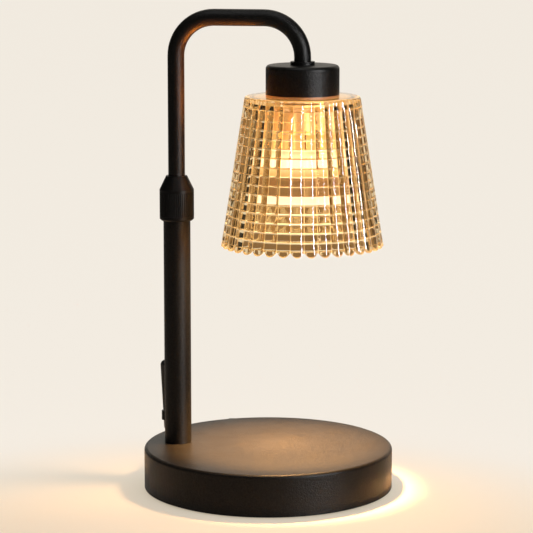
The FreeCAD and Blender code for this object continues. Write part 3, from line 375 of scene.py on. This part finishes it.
class WARMER_OT_stand(bpy.types.Operator):
    """Finish the coated base, pole, nut, arm and cap"""

    bl_idname = "warmer.stand"
    bl_label = "Coated Stand"

    def execute(self, context):
        # Steel, powder-coated: satin black with a fine orange-peel grain that breaks up
        # the highlights. The real grain is about 0.5 mm and is drawn at 0.9 mm to show.
        colour = context.scene.warmer_lamp.coat_colour
        coat = grained("Powder-coated steel, fine texture", colour, darker(colour, 0.2), 0.36,
                       0.9, 0.24, spread=0.03, gloss=0.12)
        dress(coat, "base_shell", "lower_tube", "upper_tube", "socket_cap", "flange_ring",
              "cord_clamp")
        # Aluminium, turned, knurled and anodised: a deep black whose knurls catch fine lines
        nut = grained("Anodised aluminium, knurled", "#141312", "#0B0A0A", 0.34, 0.6, 0.03,
                      spread=0.03, gloss=0.12)
        dress(nut, "lock_nut")
        # TPE, moulded: dull and slightly greyer than the coat
        dress(grained("TPE strain relief, moulded", "#232222", "#181717", 0.55, 1.0, 0.04),
              "strain_relief")
        return {"FINISHED"}


class WARMER_OT_fittings(bpy.types.Operator):
    """Finish the parts under the base, in the pole and in the lampholder"""

    bl_idname = "warmer.fittings"
    bl_label = "Fittings"

    def execute(self, context):
        # Cement, cast in the base: rough, pale grey and full of small pores
        dress(grained("Cement, cast", "#9A958C", "#7C776E", 0.9, 1.6, 0.25), "base_weight")
        # EVA foam, die cut: matt black with a closed-cell grain
        dress(grained("EVA foam pad, die cut", "#2B2B2B", "#1C1C1C", 0.9, 0.9, 0.15,
                      sheen=0.2), "base_pad")
        # Steel, zinc-plated: cool grey with a cloudy sheen
        zinc = grained("Zinc-plated steel, turned", "#B9BBBA", "#9EA1A1", 0.36, 2.5, 0.01,
                       metallic=1.0)
        dress(zinc, "pole_washer", "pole_bolt", "head_nipple", "nipple_nuts", "holder_screws",
              "collet_sleeve", "bush_clips")
        # PA6, moulded: an off-white that has gone a little creamy, with a waxy shine
        nylon = grained("Nylon bush, moulded", "#E4DFD3", "#D6D0C2", 0.42, 1.5, 0.02)
        dress(nylon, "foot_plug", "guide_bush", "split_collet")
        # Silicone, extruded over the lead in the arm: creamy white, soft and dull
        dress(grained("Silicone lead sheath, extruded", "#D9D4C8", "#C9C3B5", 0.5, 2.0, 0.02),
              "pole_lead", "arm_lead")
        # Silicone rubber, die cut: the amber-grey seals either side of the glass
        dress(grained("Silicone gasket, die cut", "#A98558", "#94744C", 0.5, 1.4, 0.02),
              "shade_gasket", "ring_washer")
        # Steatite, pressed and fired: white with a faint grain
        dress(grained("Steatite lampholder, fired", "#EFEAE0", "#E2DBCE", 0.45, 1.1, 0.03),
              "lampholder")
        # Steel, zinc-plated and bright: it takes the bulb's colour
        dress(grained("Zinc-plated sleeve, pressed", "#D8D0C4", "#C6BDAF", 0.42, 1.8, 0.02,
                      metallic=0.5), "holder_sleeve", "shade_ring")
        # Brass, turned and nickel-plated: bright, warm grey and smooth
        dress(grained("Nickel-plated pins, turned", "#CFC8BB", "#C0B8A9", 0.22, 1.5, 0.004,
                      metallic=1.0), "bulb_pins")
        return {"FINISHED"}


# ------------------------------------------------------------------ the shade

TOP_GAP = 0.05 * MM         # how far the glass stays under the top of the frame's shade
TOP_RADIUS = 34.3 * MM      # of the fluted wall, where it meets the top
TOP_THICKNESS = 4.0 * MM    # of the flat top, between the hole and the step
TOP_ROUNDING = 1.9 * MM     # of the edge round the top
TOP_CORNER = (12, 32, 52, 72, 90)  # where that edge has its points, in degrees
HOLE_GAP = 0.5 * MM         # between the hole in the top and the sleeve through it
HOLE_CHAMFER = 0.3 * MM
FLUTE_FADE = 6 * MM         # over this height, the flutes come up to their depth from half
# The rounded outside of the rim: how far in and how high each point is
RIM_HEIGHT = 0.9 * MM
RIM = ((1.0 * MM, 0.0), (0.35 * MM, 0.25 * MM), (0.02 * MM, RIM_HEIGHT))
WALL_ROWS = 12
WALL_TOP = 3.0 * MM         # how far under the top the last of them ends
OUTER_ROWS = len(RIM) - 1 + WALL_ROWS   # rows of faces up the outside, with the rim's
FIRST_RING = 3.2 * MM       # height of the lowest ring over the mouth
# The step down to the thicker corner: how far its slope reaches in, the room that the
# rings leave under it, and how far in and how high its other points are
STEP_REACH = 4.4 * MM
STEP_ROOM = 0.6 * MM
STEP = ((2.9 * MM, 0.4 * MM), (2.5 * MM, 0.0), (0.6 * MM, -0.3 * MM))
# The points of one ring, as shares of the pitch from its top, and how square it swells
RING_SHARES = (0.0, 0.04, 0.1, 0.22, 0.5, 0.78, 0.9, 0.96)
RING_SQUARENESS = 8
# The inside of the rim: how far out and how high each point is
INNER_RIM = ((0.1 * MM, 0.5 * MM), (0.6 * MM, 0.0))
LOW_RINGS = 0.4             # the share of the rings, from the mouth, with a painted glow at both edges
CROWN = 0.92                # of a flute's width; the rest is the sharp valley beside it
SHARP_ANGLE = math.radians(28)


def shade_section(settings, crest):
    """The cross-section of the glass at one slice: points (radius, height) in metres, round
    the section once, and the numbers of the points after which the glass turns an edge or
    faces down, where it takes a painted glow. crest is 1 on the crown of a flute and 0 in
    the valley."""
    top, mouth = SHADE_HIGH.z - TOP_GAP, SHADE_LOW.z
    mouth_r = (SHADE_HIGH.x - SHADE_LOW.x) / 2
    slope = (mouth_r - TOP_RADIUS) / (top - mouth)
    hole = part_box("holder_sleeve")[1].x - SHADE_X + HOLE_GAP
    under = top - TOP_THICKNESS
    low = mouth + settings.scallop * (1 - crest)
    fall = settings.flute_depth * (1 - crest)

    def outer(z):
        fade = min(1.0, max(0.5, (top - z) / FLUTE_FADE))
        return mouth_r - slope * (z - mouth) - fall * fade

    def inner(z):
        return mouth_r - slope * (z - mouth) - settings.wall

    # The outside, from the rim up the fluted wall and round the corner to the top
    points = [(outer(low) - inwards, low + up) for inwards, up in RIM]
    painted_glow_points = [0, 1]
    for i in range(1, WALL_ROWS + 1):
        z = low + RIM_HEIGHT + (top - WALL_TOP - low - RIM_HEIGHT) * i / WALL_ROWS
        points.append((outer(z), z))
    centre = top - TOP_ROUNDING
    for angle in TOP_CORNER:
        a = math.radians(angle)
        points.append((outer(centre) - TOP_ROUNDING + TOP_ROUNDING * math.cos(a),
                       centre + TOP_ROUNDING * math.sin(a)))
    painted_glow_points += [len(points) - 3, len(points) - 2]

    # The hole in the top and the flat underside round it
    points.append((hole + HOLE_CHAMFER, top))
    points.append((hole, top - HOLE_CHAMFER))
    points.append((hole, under + HOLE_CHAMFER))
    painted_glow_points.append(len(points))
    points.append((hole + HOLE_CHAMFER, under))

    # The step, above as many whole rings as there is room for
    first = mouth + FIRST_RING
    step = under - settings.step
    rows = int((step - STEP_ROOM - first) / settings.row_pitch)
    start = inner(first + rows * settings.row_pitch)
    points.append((start - STEP_REACH, under))
    painted_glow_points.append(len(points) + 1)
    points += [(start - inwards, step + up) for inwards, up in STEP]

    # The rings, from the top down, and the inside of the rim
    for row in range(rows, 0, -1):
        for share in RING_SHARES:
            z = first + (row - share) * settings.row_pitch
            swell = settings.row_height * (1 - abs(2 * share - 1) ** RING_SQUARENESS)
            # The lower rings take a painted glow at their lower edge too
            low_painted_glow = share == RING_SHARES[-1] and row <= LOW_RINGS * rows
            if share == 0.0 or low_painted_glow:
                painted_glow_points.append(len(points))
            points.append((inner(z) - swell, z))
    points.append((inner(first), first))
    points += [(inner(low) + outwards, low + up) for outwards, up in INNER_RIM]
    painted_glow_points += [len(points) - 2, len(points) - 1]
    return points, painted_glow_points


def build_shade(settings):
    """The mesh of the shade. Its faces with a painted glow, those at the edges and in the
    outside of each valley, take the second material."""
    wide = settings.slices - 1
    shares = [CROWN * k / wide for k in range(wide)] + [CROWN]
    slices = settings.flutes * settings.slices
    mesh = bpy.data.meshes.new("pressed_glass_shade")
    work = bmesh.new()
    loops = []
    for i in range(slices):
        flute, k = divmod(i, settings.slices)
        crest = 1 - (2 * shares[k] / CROWN - 1) ** 2
        angle = 2 * math.pi * (flute + shares[k]) / settings.flutes
        section, painted_glow_points = shade_section(settings, crest)
        loops.append([
            work.verts.new((SHADE_X + r * math.cos(angle), r * math.sin(angle), z))
            for r, z in section
        ])
    for i, loop in enumerate(loops):
        after = loops[(i + 1) % slices]
        valley = (i + 1) % settings.slices == 0
        for j in range(len(loop)):
            k = (j + 1) % len(loop)
            face = work.faces.new((loop[j], after[j], after[k], loop[k]))
            # The second material paints a glow on the edge and valley faces
            face.material_index = 1 if j in painted_glow_points or (valley and j < OUTER_ROWS) else 0
    bmesh.ops.recalc_face_normals(work, faces=work.faces)
    work.to_mesh(mesh)
    work.free()
    mesh.polygons.foreach_set("use_smooth", [True] * len(mesh.polygons))
    mesh.set_sharp_from_angle(angle=SHARP_ANGLE)
    return mesh


def clear_glass(name, glow):
    """Soda-lime glass, pressed and fire-polished, so that flutes and rings bend what is behind
    them. Its body carries a warm tint that is painted light: clear glass coloured as if lit
    by the bulb. Shadow rays pass, so the bulb lights the base. glow is the strength of a
    painted glow on the surface, standing in for the bulb's light that the wall carries."""
    material, tree = new_material(name)
    # The warm Base Color is painted light: clear glass tinted as if lit by the bulb
    glass = add(tree, "ShaderNodeBsdfPrincipled",
                {"Base Color": linear("#F8E2B8"), "Roughness": 0.0, "IOR": 1.5,
                 "Transmission Weight": 1.0, "Emission Color": linear("#FFC474"),
                 "Emission Strength": glow})
    ray = add(tree, "ShaderNodeLightPath")
    clear = add(tree, "ShaderNodeBsdfTransparent", {"Color": linear("#FFE9C8")})
    finish_surface(tree, blend(tree, ray.outputs["Is Shadow Ray"], glass, clear))
    return material


class WARMER_OT_shade(bpy.types.Operator):
    """Press the fluted glass shade"""

    bl_idname = "warmer.shade"
    bl_label = "Glass Shade"

    def execute(self, context):
        mesh = build_shade(context.scene.warmer_shade)
        shade = bpy.data.objects.new("pressed_glass_shade", mesh)
        context.scene.collection.objects.link(shade)
        mesh.materials.append(clear_glass("Soda-lime glass, pressed", 0.0))
        # A painted glow at the rim, in the valleys and at the ring edges, standing in for the
        # bulb's light that leaves the wall there
        mesh.materials.append(clear_glass("Soda-lime glass edge, painted glow", 0.38))
        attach(shade, "head")
        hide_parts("shade")
        return {"FINISHED"}


# ------------------------------------------------------------------ the bulb

def lit_glass(name, stops):
    """Glass lit from inside: it glows by its height on the bulb, from its front to its neck.
    stops are (place, hex colour, strength), with 0 at the reflector's front and 1 at its
    neck. The body is dark, so that the glow alone gives the colour."""
    material, tree = new_material(name)
    place = add(tree, "ShaderNodeTexCoord")
    split = add(tree, "ShaderNodeSeparateXYZ", links={"Vector": place.outputs["Object"]})
    first, last = stops[0][0], stops[-1][0]
    span = BULB_HIGH.z - BULB_LOW.z
    height = add(tree, "ShaderNodeMapRange", {"From Min": BULB_LOW.z + first * span,
                                              "From Max": BULB_LOW.z + last * span},
                 {"Value": split.outputs["Z"]})
    stops = [((p - first) / (last - first), code, strength) for p, code, strength in stops]
    colour = ramp(tree, height.outputs["Result"], [(p, code) for p, code, _ in stops])
    bulb = add(tree, "ShaderNodeBsdfPrincipled",
               {"Base Color": linear("#4A3C30"), "Roughness": 0.15, "IOR": 1.5},
               {"Emission Color": colour.outputs["Color"]})
    most = max(strength for _, _, strength in stops)
    if all(strength == most for _, _, strength in stops):
        bulb.inputs["Emission Strength"].default_value = most
    else:
        levels = [(p, (strength / most,) * 3 + (1.0,)) for p, _, strength in stops]
        level = ramp(tree, height.outputs["Result"], levels)
        power = add(tree, "ShaderNodeMath", {1: most}, {0: level.outputs["Color"]},
                    operation="MULTIPLY")
        tree.links.new(power.outputs[0], bulb.inputs["Emission Strength"])
    finish_surface(tree, bulb)
    return material


def bulb_light(context, name, kind, power, colour, radius, place, direction=None, angle=0,
               soft=0):
    """One of the bulb's lights. It rides on the head and its own disc is out of sight. A spot
    also has a direction, a cone angle in degrees and a soft edge."""
    light = bpy.data.lights.new(name, kind)
    light.energy = power
    light.color = colour[:3]
    light.shadow_soft_size = radius
    lamp = bpy.data.objects.new(name, light)
    lamp.location = place
    if kind == "SPOT":
        light.spot_size = math.radians(angle)
        light.spot_blend = soft
        lamp.rotation_euler = facing(direction)
    lamp.visible_camera = False
    lamp.visible_transmission = False
    context.scene.collection.objects.link(lamp)
    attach(lamp, "head")


def shine(context):
    """The bulb's lights: light through the reflector itself would take too long to settle."""
    settings = context.scene.warmer_lamp
    # Just under the front: a beam over the base, its hot spot, the wide spill on the floor
    # and the one to the left, with their power, colour, angle, softness and aim. The aim is
    # a place at the height of the base top, in millimetres from the middle of the shade.
    front_z = BULB_LOW.z - 4.0 * MM
    front = (SHADE_X, 0.0, front_z)
    cones = [
        ("bulb_beam", settings.glow_power, settings.glow_colour, 56, 0.4, (-11.0, 0.0)),
        ("bulb_hot_spot", 0.8 * settings.glow_power, settings.glow_colour, 22, 1.0,
         (-12.0, 4.0)),
        ("bulb_spill", 1.7, settings.spill_colour, 166, 0.3, (0.0, 0.0)),
        ("bulb_side_spill", 1.2, settings.spill_colour, 60, 1.0, (-125.0, 0.0)),
    ]
    for name, power, colour, angle, soft, (across, back) in cones:
        way = Vector((across * MM, back * MM, BASE_TOP - front_z))
        bulb_light(context, name, "SPOT", power, colour, 18 * MM, front, way, angle, soft)
    # Through the top of the glass: an amber light on the arm's underside and the pole
    aside = 24 * MM
    beside_neck = Vector((SHADE_X - aside, 0.0, 0.205))
    under_arm = Vector((-46 * MM, 0.0, 0.262))
    bulb_light(context, "bulb_up_spill", "SPOT", 1.8, settings.back_glow_colour, 8 * MM,
               beside_neck, under_arm - beside_neck, 80, 1.0)
    # Round the neck: the glow from the back of the bulb, on the sleeve and the glass top
    for i in range(4):
        a = math.radians(45 + 90 * i)
        around_neck = (SHADE_X + aside * math.cos(a), aside * math.sin(a), 0.206)
        bulb_light(context, f"bulb_back_glow_{i + 1}", "POINT", 0.05,
                   settings.back_glow_colour, 4 * MM, around_neck)


class WARMER_OT_bulb(bpy.types.Operator):
    """Light the bulb"""

    bl_idname = "warmer.bulb"
    bl_label = "Bulb"

    def execute(self, context):
        # Borosilicate, pressed, with a dichroic coat that lets the back of the beam glow
        reflector = lit_glass("Borosilicate reflector, dichroic coated", [
            (0.0, "#FFF4E6", 2.2), (0.16, "#FFF0DC", 1.8), (0.18, "#B09068", 0.75),
            (0.45, "#A88660", 0.72), (0.52, "#F0BC80", 0.95), (0.6, "#FFDCA8", 1.1),
            (0.66, "#FFECD0", 1.4), (0.73, "#FFF6EA", 1.9), (0.86, "#FFF6EA", 1.9),
            (0.93, "#FFE8C8", 1.3), (1.0, "#FFD498", 1.0)])
        dress(reflector, "bulb_reflector")
        # Borosilicate stem, pressed: it glows through the wall, less towards its cap
        stem = lit_glass("Borosilicate stem, pressed", [
            (1.0, "#FFD498", 1.0), (1.3, "#FFCC88", 0.95), (1.7, "#E8AC68", 0.8)])
        dress(stem, "bulb_base")
        # Borosilicate front, pressed with a fine stipple: an even, warm white
        front = lit_glass("Borosilicate front, stippled",
                          [(0.0, "#FFF0D0", 3.0), (1.0, "#FFF7E6", 3.0)])
        dress(front, "bulb_lens")
        # Quartz capsule at full heat: the brightest point, nearly white
        capsule = lit_glass("Quartz capsule, lit",
                            [(0.0, "#FFF0C8", 15.0), (1.0, "#FFFDF4", 15.0)])
        dress(capsule, "bulb_capsule")
        shine(context)
        return {"FINISHED"}


# ------------------------------------------------------------------ the stage

FLOOR_HALF = 9.0
# The light on the floor, with its painted warm glow, shows most near a place in front of
# the base, and the floor's own colour takes over between these distances from it
LIT_PLACE, LIT_NEAR, LIT_FAR = (0.0, -0.15, 0.0), 0.1, 0.32
SOFTBOX_AIM = Vector((0.0, 0.0, 0.14))
BACKGROUND = "#F5EDE0"
# Brown cards either side of and low behind the lamp, with their tone and corners. They are
# painted shade, which the glass alone shows as dark cells
PAINTED_SHADE_CARDS = {
    "left_painted_shade_card": ("#9C7C56", [(-0.27, 0.15, 0.001), (-0.75, 1.6, 0.001), (-0.75, 1.6, 0.9),
                              (-0.27, 0.15, 0.9)]),
    "right_painted_shade_card": ("#6E5030", [(0.28, 0.15, 0.001), (0.34, 1.6, 0.001), (0.34, 1.6, 0.9),
                               (0.28, 0.15, 0.9)]),
    "low_painted_shade_card": ("#957A5C", [(-0.53, 0.5, 0.001), (0.36, 0.64, 0.001), (0.26, 1.3, 0.001),
                             (-0.63, 1.16, 0.001)]),
}


def softbox(context, name, azimuth, height, distance, size, power):
    """A rectangular lamp on a circle round the object, aimed at it. azimuth is in degrees
    from the front, positive to the right."""
    data = bpy.data.lights.new(name, "AREA")
    data.shape = "RECTANGLE"
    data.size, data.size_y = size
    data.energy = power
    lamp = bpy.data.objects.new(name, data)
    a = math.radians(azimuth - 90)
    lamp.location = (distance * math.cos(a), distance * math.sin(a), height)
    lamp.rotation_euler = facing(SOFTBOX_AIM - lamp.location)
    context.scene.collection.objects.link(lamp)
    return lamp


def sheet(context, name, corners, material):
    """A flat piece of the stage from its four corners."""
    mesh = bpy.data.meshes.new(name)
    mesh.from_pydata(corners, [], [(0, 1, 2, 3)])
    mesh.materials.append(material)
    piece = bpy.data.objects.new(name, mesh)
    context.scene.collection.objects.link(piece)
    return piece


def either(tree, first, second):
    """1 where either of two 0 or 1 sockets is 1."""
    return add(tree, "ShaderNodeMath", links={0: first, 1: second}, operation="MAXIMUM")


def floor_paint(colour):
    """Board, painted: pale and matt. To the eye, straight or through the glass, it has the
    paint's own pale colour, and lamp light and shadow show on it near the lamp. Near the lamp
    that pale colour turns warmer: a painted glow of the lamp's light."""
    material, tree = new_material("Painted board, matt")
    paint = add(tree, "ShaderNodeBsdfPrincipled", {"Base Color": colour, "Roughness": 0.6,
                                                   "Specular IOR Level": 0.2})
    ray = add(tree, "ShaderNodeLightPath")
    seen = either(tree, ray.outputs["Is Camera Ray"], ray.outputs["Is Transmission Ray"])
    sharp = either(tree, seen.outputs[0], ray.outputs["Is Singular Ray"])
    place = add(tree, "ShaderNodeTexCoord")
    reach = add(tree, "ShaderNodeVectorMath", {1: LIT_PLACE}, {0: place.outputs["Object"]},
                operation="DISTANCE")
    share = add(tree, "ShaderNodeMapRange", {"From Min": LIT_NEAR, "From Max": LIT_FAR,
                                             "To Min": 0.45, "To Max": 0.95},
                {"Value": reach.outputs["Value"]}, interpolation_type="SMOOTHSTEP")
    amount = add(tree, "ShaderNodeMath", links={0: sharp.outputs[0],
                                                1: share.outputs["Result"]},
                 operation="MULTIPLY")
    # A painted glow of the lamp's light: the pale colour turns warm near the lamp
    painted_lamp_glow = ramp(tree, share.outputs["Result"], [(0.5, "#FAEAD0"), (0.9, "#F6EFE4")])
    pale_with_painted_glow = add(tree, "ShaderNodeEmission", {"Strength": 1.0}, {"Color": painted_lamp_glow.outputs["Color"]})
    finish_surface(tree, blend(tree, amount.outputs[0], paint, pale_with_painted_glow))
    return material


def studio_world():
    """The pale background is behind the lamp. Dark screens stand either side and in front,
    which draw the edges of the glass and keep the coat black."""
    world = bpy.data.worlds.new("studio")
    world.use_nodes = True
    sky = world.node_tree
    sky.nodes.clear()
    ray = add(sky, "ShaderNodeLightPath")
    clear = either(sky, ray.outputs["Is Transmission Ray"], ray.outputs["Is Glossy Ray"])
    place = add(sky, "ShaderNodeTexCoord")
    way = add(sky, "ShaderNodeSeparateXYZ", links={"Vector": place.outputs["Generated"]})
    side = add(sky, "ShaderNodeMath", links={0: way.outputs["X"]}, operation="ABSOLUTE")
    behind = add(sky, "ShaderNodeMath", links={0: way.outputs["Y"], 1: side.outputs[0]},
                 operation="SUBTRACT")
    screen = add(sky, "ShaderNodeMapRange", {"From Min": 0.1, "From Max": 0.45,
                                             "To Min": 0.03, "To Max": 0.9},
                 {"Value": behind.outputs[0]})
    dim = add(sky, "ShaderNodeBackground", {"Color": linear("#FFF8EE"), "Strength": 0.06})
    around = add(sky, "ShaderNodeBackground", {"Color": linear(BACKGROUND)},
                 {"Strength": screen.outputs["Result"]})
    pale = add(sky, "ShaderNodeBackground", {"Color": linear(BACKGROUND), "Strength": 1.0})
    near = blend(sky, clear.outputs[0], dim, around)
    seen = blend(sky, ray.outputs["Is Camera Ray"], near, pale)
    add(sky, "ShaderNodeOutputWorld", links={"Surface": seen.outputs[0]})
    return world


class WARMER_OT_stage(bpy.types.Operator):
    """Put the lamp on a pale floor in soft studio light"""

    bl_idname = "warmer.stage"
    bl_label = "Stage"

    def execute(self, context):
        scene = context.scene
        scene.view_settings.view_transform = "Standard"
        corners = [(-FLOOR_HALF, -FLOOR_HALF, 0), (FLOOR_HALF, -FLOOR_HALF, 0),
                   (FLOOR_HALF, FLOOR_HALF, 0), (-FLOOR_HALF, FLOOR_HALF, 0)]
        floor = sheet(context, "floor", corners, floor_paint(scene.warmer_lamp.floor_colour))

        # Only the glass shows the cards, as painted shade: the upright ones in its flutes and the
        # low one in its lowest rings
        for name, (tone, corners) in PAINTED_SHADE_CARDS.items():
            # Painted shade for the glass: one flat tone without shine, which only the glass shows
            material, tree = new_material(f"Card for {name}")
            flat = add(tree, "ShaderNodeEmission", {"Color": linear(tone), "Strength": 1.0})
            finish_surface(tree, flat)
            card = sheet(context, name, corners, material)
            card.visible_camera = False
            card.visible_diffuse = False
            card.visible_glossy = False
            card.visible_shadow = False

        scene.world = studio_world()
        softbox(context, "overhead_softbox", azimuth=10, height=2.1, distance=0.5,
                size=(1.8, 1.8), power=22.0)
        # A tall strip for the highlights alone, on the coat's right and down the flutes
        strip = softbox(context, "right_strip", azimuth=56, height=0.42, distance=1.3,
                        size=(0.08, 0.84), power=30.0)
        strip.visible_diffuse = False
        return {"FINISHED"}


# ------------------------------------------------------------------ the sidebar panel

OPERATORS = (WARMER_OT_camera, WARMER_OT_cord, WARMER_OT_stand, WARMER_OT_fittings,
             WARMER_OT_shade, WARMER_OT_bulb, WARMER_OT_stage)


class WARMER_PT_panel(bpy.types.Panel):
    """Lists the lamp's settings and its pieces"""

    bl_idname = "WARMER_PT_panel"
    bl_label = "Warmer Lamp"
    bl_space_type = "VIEW_3D"
    bl_region_type = "UI"
    bl_category = "Warmer Lamp"

    def draw(self, context):
        scene = context.scene
        for settings in (scene.warmer_lamp, scene.warmer_shade, scene.warmer_cord):
            box = self.layout.box()
            for name in settings.bl_rna.properties.keys():
                if name not in ("rna_type", "name"):
                    box.prop(settings, name)
        for operator in OPERATORS:
            self.layout.operator(operator.bl_idname)


CLASSES = (LampSettings, ShadeSettings, CordSettings, *OPERATORS, WARMER_PT_panel)


def register():
    for cls in CLASSES:
        bpy.utils.register_class(cls)
    bpy.types.Scene.warmer_lamp = PointerProperty(type=LampSettings)
    bpy.types.Scene.warmer_shade = PointerProperty(type=ShadeSettings)
    bpy.types.Scene.warmer_cord = PointerProperty(type=CordSettings)


def unregister():
    del bpy.types.Scene.warmer_lamp
    del bpy.types.Scene.warmer_shade
    del bpy.types.Scene.warmer_cord
    for cls in reversed(CLASSES):
        bpy.utils.unregister_class(cls)


def main():
    register()
    bpy.ops.warmer.camera()
    bpy.ops.warmer.cord()
    bpy.ops.warmer.stand()
    bpy.ops.warmer.fittings()
    bpy.ops.warmer.shade()
    bpy.ops.warmer.bulb()
    bpy.ops.warmer.stage()


if __name__ == "__main__":
    main()
